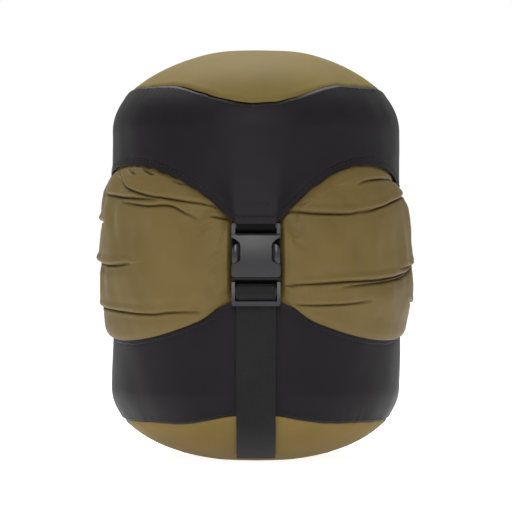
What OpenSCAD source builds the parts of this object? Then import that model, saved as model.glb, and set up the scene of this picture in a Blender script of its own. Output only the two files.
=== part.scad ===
// Compression sack, standing on its base with the straps pulled tight.
// Millimetres, +Z up, origin at the middle of the resting face. One strap faces -Y,
// the other two stand 120 degrees to either side of it.

/* [Sack] */
// Outer radius of the two fabric end caps
body_r = 94.6; // [92:0.2:98]
// Height with the straps pulled tight
sack_h = 269; // [264:1:274]
// Depth of the domed top of the lid
lid_dome = 54; // [48:1:58]
// Depth of the rounded base
base_dome = 48; // [42:1:52]
// Radius of the flat patch that the sack rests on
foot_r = 26; // [18:1:30]
// Thickness of a fabric layer
cloth = 1.4; // [1.2:0.1:1.4]
// How far the gathered middle bulges past the caps
bulge = 7.6; // [4:0.2:9]

/* [Scalloped edges] */
// Height of the upper skirt's edge below the top, at a strap
lid_edge_strap = 115; // [112:1:117]
// Height of the upper skirt's edge below the top, midway between straps
lid_edge_valley = 76.4; // [70:0.2:84]
// Height of the lower skirt's edge at a strap
base_edge_strap = 106; // [102:1:107]
// Height of the lower skirt's edge midway between straps
base_edge_valley = 81; // [74:1:88]
// Width of the hem binding along both scalloped edges
hem_w = 5; // [3:0.5:7]

/* [Straps and buckles] */
// Width of the webbing
web_w = 25; // [22:0.5:25.4]
// Thickness of the webbing
web_t = 1.3; // [1.1:0.1:1.3]
// Width of the buckle
buckle_w = 31; // [30.6:0.1:32]
// Thickness of the socket half of the buckle
buckle_t = 8.8; // [8.4:0.1:9.4]

/* [Mouth] */
// Radius of the gathered neck under the lid
neck_r = 11.2; // [10:0.2:13]
// Thickness of the drawcord
cord_d = 2.4; // [2:0.1:2.6]
// Radius of the cord lock's barrel
lock_r = 7; // [6.8:0.1:7.4]

/* [Hidden] */

olive = "#7A6C45";
charcoal = "#302E32";
grey = "#5A5A5E";

// Heights
side_z = base_dome * cos(asin(pow(foot_r / body_r, 1.1))); // base dome turns upright
lid_strap_z = sack_h - lid_edge_strap;
lid_valley_z = sack_h - lid_edge_valley;
buckle_z = sack_h - 115; // top edge of the buckle

// Seams, as dome angles in degrees from the pole
lid_seam = 58;
base_seam = 62;
seam_gap = 0.3;      // from a seam to the cloth on either side of it
tape_span = 3;       // from a seam to either edge of its tape
tape_t = 0.9;
tape_depth = cloth + 0.9;

// Skirts, bindings and body
body_in = body_r - cloth - 1.8;
body_out = body_r - cloth - 0.5;
hem_in = body_r + 0.1;
hem_out = body_r + 0.9;
skirt_turn = 7;      // turn of a skirt's facets against the edge cuts
spare = 3;           // extra height, trimmed off by the edge cuts
cut_margin = 20;
cut_reach = 140;     // from the axis, past the widest part
scallop_step = 4;    // degrees between points of a scalloped edge

// Straps and buckles
run_out = body_r + 1.0 + web_t / 2; // middle of the rising webbing, from the axis
half_w = buckle_w / 2;
socket_out = body_r + 2.6;          // inner face of the socket, from the axis

// Cord lock
lock_y = 27;
lock_z = sack_h - 17.8;

// ---- outlines ----
// [radius, height] on the two domes, depth inside the outer surface
function lid_pt(angle, depth = 0) = [
    (body_r - depth) * pow(sin(angle), 0.95),
    sack_h - depth - (lid_dome - depth) * (1 - cos(angle))];
function base_pt(angle, depth = 0) = [
    (body_r - depth) * pow(sin(angle), 0.91),
    side_z - (base_dome - depth) * cos(angle)];

function reversed(list) = [for (i = [len(list) - 1 : -1 : 0]) list[i]];
function shifted(points, origin) = [for (p = points) p + origin];

// outline of a strip centred on a path, with mitred corners
function unit(v) = v / norm(v);
function mitre(path, i) =
    let (before = unit(i == 0 ? path[1] - path[0] : path[i] - path[i - 1]),
         after = i == len(path) - 1 ? before : unit(path[i + 1] - path[i]),
         normal = unit([-(before.y + after.y), before.x + after.x]),
         spread = normal * [-before.y, before.x])
    normal / max(spread, 0.5);
function strip(path, thick) = concat(
    [for (i = [0 : len(path) - 1]) path[i] + mitre(path, i) * thick / 2],
    [for (i = [len(path) - 1 : -1 : 0]) path[i] - mitre(path, i) * thick / 2]);

// height of the scalloped edges, angle in degrees round from the nearest strap
function swell(angle, power) =
    let (part = max(0, (angle / 60 - 0.13) / 0.87))
    1 - pow(1 - min(1, part), power);
function lid_edge(angle) = lid_strap_z + (lid_edge_strap - lid_edge_valley) * swell(angle, 2.4);
function base_edge(angle) =
    base_edge_strap - (base_edge_strap - base_edge_valley) * swell(angle, 2.0);
function edge(upper, angle) = upper ? lid_edge(angle) : base_edge(angle);
// slight rise or fall of a cut toward the strap, so that neighbouring cuts cross cleanly
function flare(angle) = 0.05 * max(0, 7.8 - angle);

// ---- shared shapes ----
module ring_solid(points) {
    rotate_extrude($fn = 180) polygon(points);
}
module tube(inner_r, outer_r, z0, z1) {
    translate([0, 0, z0]) difference() {
        cylinder(r = outer_r, h = z1 - z0, $fn = 180);
        translate([0, 0, -1]) cylinder(r = inner_r, h = z1 - z0 + 2, $fn = 180);
    }
}
// the children, once toward each gap between straps
module each_gap() {
    for (k = [0 : 2]) rotate([0, 0, 60 + 120 * k]) children();
}
// the children, turned from the front strap to strap k
module at_strap(k) {
    rotate([0, 0, 120 * k]) children();
}
// a flat shape drawn in x and z, standing from out0 to out1 from the axis toward -Y
module slab(out0, out1) {
    translate([0, -out0, 0]) rotate([90, 0, 0]) linear_extrude(height = out1 - out0) children();
}
// webbing along a path of [distance out toward -Y, z]
module band(path) {
    rotate([0, 0, -90]) translate([0, web_w / 2, 0]) rotate([90, 0, 0])
        linear_extrude(height = web_w) polygon(strip(path, web_t));
}
// everything from a skirt's edge, moved up by shift, to height end_z
module cut_from_edge(upper, shift, end_z) {
    rise = end_z > edge(upper, 0) ? 1 : -1;
    half_angle = 62;
    end_x = body_r * sin(half_angle);
    each_gap() slab(0, cut_reach) polygon(concat(
        [[-end_x, end_z]],
        [for (turn = [-half_angle : scallop_step : half_angle])
            let (angle = 60 - abs(turn))
            [body_r * sin(turn), edge(upper, angle) + shift + rise * flare(angle)]],
        [[end_x, end_z]]));
}

// ---- base ----
module base_panel() {
    rim = base_seam - seam_gap;
    color(olive) ring_solid(concat(
        [[0, 0], [foot_r, 0]],
        [for (angle = [20 : 6 : base_seam]) base_pt(angle)],
        [base_pt(rim), base_pt(rim, cloth)],
        [for (angle = [56 : -6 : 20]) base_pt(angle, cloth)],
        [[foot_r, cloth], [0, cloth]]));
}
module base_seam_tape() {
    color(charcoal) ring_solid(strip(
        [for (angle = [base_seam - tape_span : 2 : base_seam + tape_span])
            base_pt(angle, tape_depth)], tape_t));
}
module lower_skirt() {
    angles = [base_seam + seam_gap, 66, 72, 78, 84, 90];
    top = base_edge_strap + spare;
    color(charcoal) difference() {
        rotate([0, 0, skirt_turn]) ring_solid(concat(
            [for (angle = angles) base_pt(angle)],
            [[body_r, top], [body_r - cloth, top]],
            [for (angle = reversed(angles)) base_pt(angle, cloth)]));
        cut_from_edge(false, 0, base_edge_strap + cut_margin);
    }
}
module lower_hem_binding() {
    color(charcoal) difference() {
        tube(hem_in, hem_out, base_edge_valley - hem_w - spare, base_edge_strap + spare);
        cut_from_edge(false, 0, base_edge_strap + cut_margin);
        cut_from_edge(false, -hem_w, cut_margin);
    }
}

// inner tube, with the bulge showing in the gaps between the skirts
module body_tube() {
    low = base_edge_valley;
    height = lid_valley_z - low;
    steps = 14;
    edge_gap = 0.7;
    half_angle = 48;
    color(olive) difference() {
        union() {
            tube(body_in, body_out, side_z + 4, sack_h - 73.6);
            intersection() {
                ring_solid(concat(
                    [[body_in + 0.1, low]],
                    [for (i = [0 : steps])
                        [body_out + (body_r + bulge - body_out) * pow(sin(180 * i / steps), 0.6),
                         low + height * i / steps]],
                    [[body_in + 0.1, lid_valley_z]]));
                each_gap() slab(20, cut_reach) polygon(concat(
                    [for (turn = [-half_angle : scallop_step : half_angle])
                        [body_r * sin(turn), base_edge(60 - abs(turn)) + edge_gap]],
                    [for (turn = [half_angle : -scallop_step : -half_angle])
                        [body_r * sin(turn), lid_edge(60 - abs(turn)) - edge_gap]]));
            }
        }
        translate([0, 0, low - cut_margin])
            cylinder(r = body_in, h = height + 2 * cut_margin, $fn = 180);
    }
}
// the sewn end of the strap and the part that rises to the buckle
module strap_run(k) {
    color(charcoal) at_strap(k)
        band([[run_out, base_edge_strap - 24], [run_out, buckle_z - 39.5]]);
}

// ---- mouth under the lid ----
module sack_mouth() {
    mouth_z = sack_h - 25;
    wall_r = body_r - cloth - 1.15;
    color(olive) ring_solid(strip(concat(
        [[neck_r + 4.2, mouth_z + 13], [neck_r + 0.6, mouth_z + 9.5], [neck_r, mouth_z + 3]],
        [for (angle = [12 : 6 : 90])
            [wall_r * pow(sin(angle), 0.9), mouth_z - 26 * (1 - cos(angle))]],
        [[wall_r, sack_h - 73]]), 1.2));
}
// loop round the neck, its two ends running side by side through the lock to a knot
module drawcord() {
    loop_r = neck_r + 1.2 + cord_d / 2;
    knot = [5.4, 5.5, 4.4];
    knot_y = lock_y + lock_r + 13;
    color(charcoal) union() {
        translate([0, 0, lock_z]) rotate_extrude($fn = 90)
            translate([loop_r, 0]) circle(d = cord_d, $fn = 32);
        for (side = [-1, 1])
            translate([side * 1.4, loop_r - 0.1, lock_z]) rotate([-90, 0, 0])
                cylinder(d = cord_d - 0.1, h = knot_y + 1 - loop_r, $fn = 32);
        translate([-knot.x / 2, knot_y, lock_z - knot.z / 2]) cube(knot);
    }
}
// cylinder along +X
module rod(x, radius, length, sides = 64) {
    translate([x, 0, 0]) rotate([0, 90, 0]) cylinder(r = radius, h = length, $fn = sides);
}
module cord_lock_barrel() {
    color(grey) translate([0, lock_y, lock_z]) difference() {
        union() {
            rod(-9, lock_r, 17);
            rod(-9.8, lock_r - 1.2, 1);
        }
        // bore, then the cord's slot
        rod(-7.5, 5, 20);
        translate([-3, -12, -2]) cube([6, 24, 4]);
    }
}
module cord_lock_plunger() {
    color(grey) translate([0, lock_y, lock_z]) difference() {
        union() {
            rod(-3.6, 4.93, 16);
            rod(12, 6.6, 3.2);
        }
        // slot for the cord, long enough for the whole stroke
        translate([-2.9, -12, -1.6]) cube([10.9, 24, 3.2]);
        // seat of the spring
        rod(-4, 3, 0.6, 48);
    }
}
module cord_lock_spring() {
    turn_steps = 16;
    steps = 3 * turn_steps; // three turns
    sides = 6;              // of the wire's section
    wire_r = 0.35;
    coil_r = 3.7;
    length = 2.5;
    points = [for (i = [0 : steps], j = [0 : sides - 1])
        let (turn = 360 * i / turn_steps,
             around = 360 / sides * j,
             radius = coil_r + wire_r * cos(around))
        [length * i / steps + wire_r * sin(around), radius * cos(turn), radius * sin(turn)]];
    faces = concat(
        [[for (j = [0 : sides - 1]) j]],
        [for (i = [0 : steps - 1], j = [0 : sides - 1])
            let (here = sides * i, ahead = here + sides, next = (j + 1) % sides)
            [here + j, ahead + j, ahead + next, here + next]],
        [[for (j = [sides - 1 : -1 : 0]) sides * steps + j]]);
    color(grey) translate([-7.1, lock_y, lock_z]) polyhedron(points, faces);
}

// ---- lid ----
module lid_panel() {
    rim = lid_seam - seam_gap;
    color(olive) ring_solid(concat(
        [[0, sack_h]],
        [for (angle = [6 : 6 : lid_seam - 2]) lid_pt(angle)],
        [lid_pt(rim), lid_pt(rim, cloth)],
        [for (angle = [54 : -6 : 6]) lid_pt(angle, cloth)],
        [[0, sack_h - cloth]]));
}
module lid_seam_tape() {
    color(charcoal) ring_solid(strip(
        [for (angle = [lid_seam - tape_span : 2 : lid_seam + tape_span])
            lid_pt(angle, tape_depth)], tape_t));
}
module upper_skirt() {
    angles = [lid_seam + seam_gap, 62, 67, 72, 78, 84, 90];
    foot = lid_strap_z - spare;
    color(charcoal) difference() {
        rotate([0, 0, skirt_turn]) ring_solid(concat(
            [for (angle = angles) lid_pt(angle)],
            [[body_r, foot], [body_r - cloth, foot]],
            [for (angle = reversed(angles)) lid_pt(angle, cloth)]));
        cut_from_edge(true, 0, lid_strap_z - cut_margin);
    }
}
module upper_hem_binding() {
    color(charcoal) difference() {
        tube(hem_in, hem_out, lid_strap_z - spare, lid_valley_z + hem_w + spare);
        cut_from_edge(true, 0, lid_strap_z - cut_margin);
        cut_from_edge(true, hem_w, sack_h - cut_margin);
    }
}

// ---- buckles ----
// the children, as deep as the socket less an inset from its inner and outer faces
module socket_layer(inset) {
    slab(socket_out + inset, socket_out + buckle_t - inset) children();
}
// rectangle centred on x, its foot at z from the buckle's top edge
module crossbar(width, z, height) {
    translate([-width / 2, buckle_z + z]) square([width, height]);
}
// a rail on each side; points are [x from the buckle's side, z from its top edge]
module side_rails(out0, out1, points) {
    for (side = [-1, 1]) slab(out0, out1)
        polygon([for (p = points) [side * (half_w + p.x), buckle_z + p.y]]);
}
// webbing loop that holds the socket's bar
module buckle_tab(k) {
    // [out from body_r, z from buckle_z]
    path = [[3.5, 18], [3.5, 6], [7.15, 1.5], [7.15, -3.25],
        [3.45, -3.25], [3.45, 0.5], [1.8, 4.5], [1.8, 18]];
    color(charcoal) at_strap(k) band(shifted(path, [body_r, buckle_z]));
}
// half width of the socket at z from buckle_z, with a waist where the prongs show
waist_foot = -25.5;
waist_top = -8;
waist_depth = 5.6;
function socket_half(z) =
    z < -32 ? half_w - 0.9
    : z < waist_foot || z > waist_top ? half_w
    : half_w - waist_depth * pow(sin(90 * min(1, (z - waist_foot) / 3.5)), 0.6)
        * sin(90 * min(1, (waist_top - z) / 5.5));
socket_top = -6;
module socket_outline() {
    heights = concat([-33.5, -32], [for (i = [0 : 6]) waist_foot + 0.6 * i], [-20, -17],
        [for (i = [0 : 6]) -14 + i], [socket_top]);
    polygon(concat(
        [for (z = heights) [socket_half(z), buckle_z + z]],
        [for (z = reversed(heights)) [-socket_half(z), buckle_z + z]]));
}
module buckle_socket(k) {
    wall = 1.5;
    color(grey) at_strap(k) difference() {
        union() {
            difference() {
                socket_layer(0) socket_outline();
                // chamfered top edge on the outer face
                translate([0, -(socket_out + buckle_t), buckle_z + socket_top])
                    rotate([45, 0, 0]) cube([60, 1.6, 1.6], center = true);
            }
            // frame and bar for the webbing loop
            side_rails(body_r + 3.4, body_r + 8.4,
                [[-2.3, -9], [0, -9], [0, -0.6], [-0.8, 0.6], [-2.3, 0.6]]);
            slab(body_r + 4.3, body_r + 6.3) crossbar(buckle_w - 2, -2.4, 2.8);
        }
        // cavity for the plug
        socket_layer(wall) crossbar(buckle_w - 3.8, -35, 23.5);
        // side windows
        socket_layer(wall) for (side = [-1, 1])
            translate([side * half_w - 4, buckle_z - 26]) square([8, 14.5]);
    }
}
// plug half: ladder lock frame and guide tongue
module buckle_plug(k) {
    tongue_w = 5;
    tongue_top = -16.5;
    color(grey) at_strap(k) union() {
        slab(body_r + 2.8, body_r + 9.8) crossbar(buckle_w, -35.4, 1.7);
        side_rails(body_r + 2.8, body_r + 9,
            [[-2.2, -34.5], [0, -34.5], [0, -50.6], [-1.2, -51.8], [-2.2, -51.8]]);
        slab(body_r + 4.1, body_r + 6) crossbar(buckle_w - 2, -45.4, 5);
        slab(body_r + 6.3, body_r + 9) crossbar(buckle_w - 2, -51.8, 2.9);
        socket_layer(2) {
            crossbar(buckle_w - 4.6, -34.8, 1.55);
            crossbar(tongue_w, -34, 17.5);
            translate([0, buckle_z + tongue_top]) circle(r = tongue_w / 2, $fn = 48);
        }
    }
}
// spring prong of the plug; side is -1 or 1 along the front buckle's x
module prong(k, side) {
    pivot = [9.3, buckle_z - 31.6];
    pivot_r = 1.5;
    tip = half_w - 0.2 - pivot.x;
    // [x, z] from the pivot
    outline = [[-pivot_r, 0], [pivot_r, 0], [1.6, 6.2], [5.1, 6.2], [tip, 7.4], [tip, 15.6],
        [4.4, 18.6], [2.2, 19.4], [0, 18.4], [-1.2, 15], [-1.5, 8], [-1.45, 0.5]];
    color(grey) at_strap(k) socket_layer(2.1) mirror([side < 0 ? 1 : 0, 0]) union() {
        translate(pivot) circle(r = pivot_r, $fn = 48);
        polygon(shifted(outline, pivot));
    }
}
// webbing from the ladder lock's bar down over the lower skirt and the base
module strap_tail(k) {
    rest = web_t / 2 + 0.4;              // middle of the webbing above the cloth
    over_run = run_out + web_t + 0.1;    // lying on the strap run
    // round the bar: [out from body_r, z from buckle_z]
    bar_path = [[3.25, -46.5], [3.25, -39.1], [6.85, -39.1], [6.85, -46.1],
        [4.9, -48.4], [3.7, -52.5]];
    color(charcoal) at_strap(k) band(concat(
        shifted(bar_path, [body_r, buckle_z]),
        [[over_run, buckle_z - 56], [over_run, base_edge_strap - 26],
         [body_r + rest + 0.8, base_edge_strap - 33], [body_r + rest, base_edge_strap - 42]],
        [for (angle = [90 : -6 : 30]) base_pt(angle, -rest)]));
}

base_panel();
base_seam_tape();
lower_skirt();
lower_hem_binding();
body_tube();
strap_run(0);  // strap_run_front
strap_run(1);  // strap_run_right
strap_run(2);  // strap_run_left
sack_mouth();
drawcord();
cord_lock_barrel();
cord_lock_spring();
cord_lock_plunger();
lid_panel();
lid_seam_tape();
upper_skirt();
upper_hem_binding();
buckle_tab(0);  // buckle_tab_front
buckle_tab(1);  // buckle_tab_right
buckle_tab(2);  // buckle_tab_left
buckle_socket(0);  // buckle_socket_front
buckle_socket(1);  // buckle_socket_right
buckle_socket(2);  // buckle_socket_left
buckle_plug(0);  // buckle_plug_front
buckle_plug(1);  // buckle_plug_right
buckle_plug(2);  // buckle_plug_left
strap_tail(0);  // strap_tail_front
strap_tail(1);  // strap_tail_right
strap_tail(2);  // strap_tail_left
prong(0, -1);  // prong_front_a
prong(0, 1);  // prong_front_b
prong(1, -1);  // prong_right_a
prong(1, 1);  // prong_right_b
prong(2, -1);  // prong_left_a
prong(2, 1);  // prong_left_b
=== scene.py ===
"""A round compression sack, standing upright on the floor at z = 0.

A lid and a base cap, each a dome with a scalloped skirt, are drawn together by three buckled
straps. Between the straps the gathered cloth bulges out in three pouches. The axis is Z and
the front faces -Y. Angles run in degrees from the front towards +X, so the straps (front,
right, left) stand at 0, 120 and 240.
"""
import bpy, bmesh, math
import numpy as np
from collections import namedtuple
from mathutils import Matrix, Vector


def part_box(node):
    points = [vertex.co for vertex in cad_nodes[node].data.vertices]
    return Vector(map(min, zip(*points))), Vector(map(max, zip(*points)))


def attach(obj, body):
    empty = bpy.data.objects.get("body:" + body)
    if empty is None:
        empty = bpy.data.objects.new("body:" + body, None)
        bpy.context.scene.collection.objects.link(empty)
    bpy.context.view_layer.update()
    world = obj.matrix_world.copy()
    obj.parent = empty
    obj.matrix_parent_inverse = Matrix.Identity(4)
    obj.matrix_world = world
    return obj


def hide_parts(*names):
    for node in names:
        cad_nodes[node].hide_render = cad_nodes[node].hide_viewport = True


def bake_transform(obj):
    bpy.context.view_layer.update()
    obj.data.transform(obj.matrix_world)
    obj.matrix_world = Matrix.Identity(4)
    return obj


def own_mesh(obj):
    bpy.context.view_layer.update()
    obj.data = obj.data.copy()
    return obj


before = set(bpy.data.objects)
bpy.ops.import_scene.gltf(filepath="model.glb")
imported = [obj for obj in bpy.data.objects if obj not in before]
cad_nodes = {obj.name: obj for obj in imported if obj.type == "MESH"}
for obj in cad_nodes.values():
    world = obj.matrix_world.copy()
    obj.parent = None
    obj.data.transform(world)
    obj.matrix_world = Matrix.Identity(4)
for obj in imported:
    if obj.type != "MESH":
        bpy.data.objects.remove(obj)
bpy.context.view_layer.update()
MM = 0.001
scene = bpy.context.scene


# ---------------------------------------------------------------- sizes
def cad_box(name):
    """Lowest and highest corner of a CAD piece, in mm."""
    low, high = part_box(name)
    return [c * 1000 for c in low], [c * 1000 for c in high]


TOP = cad_box("lid_panel")[1][2]            # top of the lid
RADIUS = cad_box("upper_skirt")[1][0]       # of both caps
BUCKLE_Z = TOP - 115                        # top of the buckles
SEWN_LENGTH = 24                            # strap below the base skirt's hem
BASE_HEM_Z = cad_box("strap_run_front")[0][2] + SEWN_LENGTH     # hem at a strap
LID_DEPTH, BASE_DEPTH = 54.0, 48.0          # of the domes
FOOT_RADIUS = 26                            # the base stands flat inside this
BASE_SIDE_Z = BASE_DEPTH - BASE_DEPTH * (       # where the base dome meets the upright side
    1 - math.cos(math.asin((FOOT_RADIUS / RADIUS) ** 1.1)))
CLOTH_T = .55                               # cap cloth
STRAPS = ["front", "right", "left"]
AROUND = 480                                # columns round the caps


# ---------------------------------------------------------------- curves and noise
def ease(low, high, x):
    """Smooth step from 0 at low to 1 at high."""
    t = np.clip((x - low) / (high - low), 0, 1)
    return t * t * (3 - 2 * t)


def bell(x, width):
    return np.exp(-(x / width) ** 2)


def from_strap(degrees):
    """Degrees round from the nearest strap."""
    return 60 - np.abs(np.mod(degrees, 120) - 60)


def from_strap_lid(degrees):
    """As from_strap, with the right-hand scallop peaking nearer the front strap."""
    turn = np.mod(degrees, 360)
    wave = np.abs(np.sin(np.pi * (np.clip(turn, 0, 120) / 120) ** 1.7)) ** 1.2
    return from_strap(turn + np.where(turn < 120, 18 * wave, 0))


def scallop(away, power):
    share = np.clip((away / 60 - .13) / .87, 0, 1)
    return 1 - (1 - share) ** power


def lid_hem(away):
    return BUCKLE_Z + 38.6 * scallop(away, 2.4)


def base_hem(away):
    return BASE_HEM_Z - 25.0 * scallop(away, 2.0)


def lid_profile(tilt):
    """Radius and height of the lid dome, tilt degrees from its pole."""
    tilt = np.radians(tilt)
    return RADIUS * np.sin(tilt) ** .95, TOP - LID_DEPTH * (1 - np.cos(tilt))


def base_profile(tilt):
    tilt = np.radians(tilt)
    return RADIUS * np.sin(tilt) ** .91, BASE_SIDE_Z - BASE_DEPTH * np.cos(tilt)


def polar(degrees, r, z):
    angle = np.radians(degrees)
    return np.stack(np.broadcast_arrays(r * np.sin(angle), -r * np.cos(angle), z), -1)


def heading(degrees):
    angle = math.radians(degrees)
    return math.sin(angle), -math.cos(angle), 0


def strap_axes(strap):
    """Unit vectors away from the sack's axis and across the strap."""
    away = heading(120 * strap)
    return np.array(away), np.array((-away[1], away[0], 0))


def strap_points(strap, out, across, z):
    away, side = strap_axes(strap)
    outer = np.multiply.outer
    return outer(out, away) + outer(across, side) + outer(z, (0, 0, 1))


def ring_noise(degrees, waves, terms, seed):
    """Smooth noise round the sack; waves: fewest and most a turn."""
    rng = np.random.default_rng(seed)
    total = 0
    for _ in range(terms):
        total = total + (np.sin(np.radians(degrees) * rng.integers(*waves) + rng.uniform(0, 6.28))
                         * rng.uniform(.5, 1))
    return total / math.sqrt(terms * .28)


def field_noise(degrees, z, waves, rise, terms, seed):
    """As ring_noise, varying with height too; rise: shortest wave up, mm."""
    rng = np.random.default_rng(seed)
    total = 0
    for _ in range(terms):
        slope = rng.uniform(-1, 1) * 2 * math.pi / rise
        phase = np.radians(degrees) * rng.integers(*waves) + slope * z + rng.uniform(0, 6.28)
        total = total + np.sin(phase) * rng.uniform(.5, 1)
    return total / math.sqrt(terms * .28)


def end_dense(count, amount=.72):
    """0 to 1 in steps that crowd at both ends."""
    t = np.linspace(0, 1, count)
    return (1 - amount) * t + amount * (.5 - .5 * np.cos(math.pi * t))


def arc_lengths(points):
    return np.r_[0, np.cumsum(np.linalg.norm(np.diff(points, axis=0), axis=1))]


def interp_line(at, distances, points):
    return np.stack([np.interp(at, distances, column) for column in points.T], -1)


def resample(line, share):
    """Points at the given shares of a line's length, and that length."""
    distances = arc_lengths(line)
    return interp_line(share * distances[-1], distances, line), distances[-1]


def round_corners(points, passes=3):
    """Corner cutting that keeps the two ends."""
    points = np.array(points, float)
    for _ in range(passes):
        cut = [points[0]]
        for a, b in zip(points[:-1], points[1:]):
            cut += [a * .75 + b * .25, a * .25 + b * .75]
        points = np.array(cut + [points[-1]])
    return points


# ---------------------------------------------------------------- shader helpers
def srgb(*channels):
    """8-bit sRGB as linear RGBA."""
    return tuple((c / 255 / 12.92) if c <= 10 else ((c / 255 + .055) / 1.055) ** 2.4
                 for c in channels) + (1,)


def scaled(colour, factor):
    return tuple(min(1, c * factor) for c in colour[:3]) + (1,)


class Shader:
    """A material round one Principled node. Helpers return output sockets."""

    def __init__(self, name):
        self.material = bpy.data.materials.new(name)
        self.material.use_nodes = True
        self.tree = self.material.node_tree
        self.tree.nodes.clear()
        output = self.add("OutputMaterial")
        self.principled = self.add("BsdfPrincipled")
        self.put(output.inputs[0], self.principled.outputs[0])
        self.position = self.add("TexCoord").outputs["Object"]

    def add(self, kind, **settings):
        node = self.tree.nodes.new("ShaderNode" + kind)
        for key, value in settings.items():
            setattr(node, key, value)
        return node

    def put(self, socket, value):
        """Link a socket or set a plain value."""
        if isinstance(value, bpy.types.NodeSocket):
            self.tree.links.new(value, socket)
        else:
            socket.default_value = value

    def surface(self, inputs):
        for key, value in inputs.items():
            self.put(self.principled.inputs[key], value)

    def split(self, vector):
        node = self.add("SeparateXYZ")
        self.put(node.inputs[0], vector)
        return node.outputs

    def math(self, operation, *values):
        node = self.add("Math", operation=operation)
        for socket, value in zip(node.inputs, values):
            self.put(socket, value)
        return node.outputs[0]

    def wave(self, value, pitch):
        return self.math("SINE", self.math("MULTIPLY", value, 2 * math.pi / pitch))

    def vary(self, factor, amount, base):
        return self.math("ADD", self.math("MULTIPLY", factor, amount), base)

    def noise(self, scale, detail=3, rough=.5, distortion=0):
        node = self.add("TexNoise")
        for key, value in (("Scale", scale), ("Detail", detail), ("Roughness", rough),
                           ("Distortion", distortion), ("Vector", self.position)):
            self.put(node.inputs[key], value)
        return node.outputs["Fac"]

    def ramp(self, factor, stops):
        node = self.add("ValToRGB")
        elements = node.color_ramp.elements
        while len(elements) < len(stops):
            elements.new(.5)
        for element, (position, colour) in zip(elements, stops):
            element.position = position
            element.color = colour
        self.put(node.inputs[0], factor)
        return node.outputs[0]

    def mix(self, factor, first, second):
        node = self.add("Mix", data_type="RGBA")
        for index, value in ((0, factor), (6, first), (7, second)):
            self.put(node.inputs[index], value)
        return node.outputs[2]

    def bump(self, height, strength, distance, before=None):
        node = self.add("Bump")
        for key, value in (("Strength", strength), ("Distance", distance), ("Height", height)):
            self.put(node.inputs[key], value)
        if before is not None:
            self.put(node.inputs["Normal"], before)
        return node.outputs[0]


# ---------------------------------------------------------------- materials
def cloth_material(name, tones, rough, sheen, specular, thread=.00042, wrapped=True):
    """Woven nylon with slight cloudiness and thicker yarns at intervals.

    tones: dark, mid and light; thread: weave pitch, m; wrapped: the weave runs round the
    sack, otherwise it lies in plan. The mesh attribute "crease" paints shade into the folds."""
    yarn_pitch = .0052
    shader = Shader(name)
    dark, mid, light = (srgb(*tone) for tone in tones)
    x, y, z = shader.split(shader.position)
    if wrapped:
        x = shader.math("MULTIPLY", shader.math("ARCTAN2", y, x), RADIUS * MM)
        y = z
    weave = shader.math("MULTIPLY", shader.wave(x, thread), shader.wave(y, thread))
    yarns = [shader.math("POWER", shader.math("ABSOLUTE", shader.wave(c, 2 * yarn_pitch)), 40.0)
             for c in (x, y)]
    yarn = shader.math("MAXIMUM", *yarns)
    cloud = shader.noise(22, detail=4, rough=.55)
    grain = shader.noise(900, detail=2, rough=.6)
    tint = shader.ramp(cloud, [(.30, dark), (.52, mid), (.75, light)])
    tint = shader.mix(shader.math("MULTIPLY", grain, .22), tint, dark)
    tint = shader.mix(shader.math("MULTIPLY", yarn, .10), tint, light)
    crease = shader.add("Attribute", attribute_name="crease").outputs["Fac"]
    # painted shade: the crease attribute darkens the cloth towards near-black in the folds
    tint = shader.mix(shader.math("MULTIPLY", crease, .62), tint, scaled(dark, .16))
    shader.surface({
        "Base Color": tint,
        "Roughness": shader.vary(cloud, amount=.16, base=rough - .08),
        "Specular IOR Level": specular,
        "Sheen Weight": sheen,
        "Sheen Roughness": .35,
        "Sheen Tint": (1, .99, .97, 1)})
    normal = shader.bump(shader.noise(95, detail=4, rough=.6), strength=.10, distance=.0010)
    normal = shader.bump(yarn, strength=.10, distance=.00006, before=normal)
    normal = shader.bump(weave, strength=.22, distance=.00004, before=normal)
    shader.surface({"Normal": normal})
    return shader.material


def webbing_material(name, degrees):
    """Herringbone webbing for the strap at this many degrees round the sack."""
    shader = Shader(name)
    mapping = shader.add("Mapping")
    mapping.inputs["Rotation"].default_value = (0, 0, -math.radians(degrees))
    shader.put(mapping.inputs["Vector"], shader.position)
    x, y, z = shader.split(mapping.outputs[0])
    zigzag = shader.math("FRACT", shader.math("MULTIPLY", x, 1 / .0042))
    zigzag = shader.math("ABSOLUTE", shader.math("SUBTRACT", zigzag, .5))
    rise = shader.math("SUBTRACT", z, shader.math("MULTIPLY", y, .8))
    rise = shader.math("ADD", rise, shader.math("MULTIPLY", zigzag, .0016))
    rib = shader.wave(rise, pitch=.0011)
    column = shader.wave(x, pitch=.00105)
    weave = shader.math("ADD", shader.math("MULTIPLY", rib, .6),
                        shader.math("MULTIPLY", column, .4))
    tint = shader.ramp(shader.noise(60, detail=4, rough=.6),
                       [(.3, srgb(22, 20, 22)), (.55, srgb(27, 25, 27)), (.8, srgb(33, 31, 33))])
    # painted shade: the weave's hollows darkened towards near-black
    hollow = shader.math("MAXIMUM", shader.math("MULTIPLY", weave, -.45), 0.0)
    shader.surface({
        "Base Color": shader.mix(shader.math("MULTIPLY", hollow, 1.0), tint, srgb(15, 14, 15)),
        "Roughness": .68,
        "Specular IOR Level": .25,
        "Sheen Weight": .06,
        "Sheen Roughness": .5})
    fuzz = shader.bump(shader.noise(1400, detail=2, rough=.6), strength=.15, distance=.0001)
    shader.surface({"Normal": shader.bump(weave, strength=.55, distance=.00016, before=fuzz)})
    return shader.material


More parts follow.
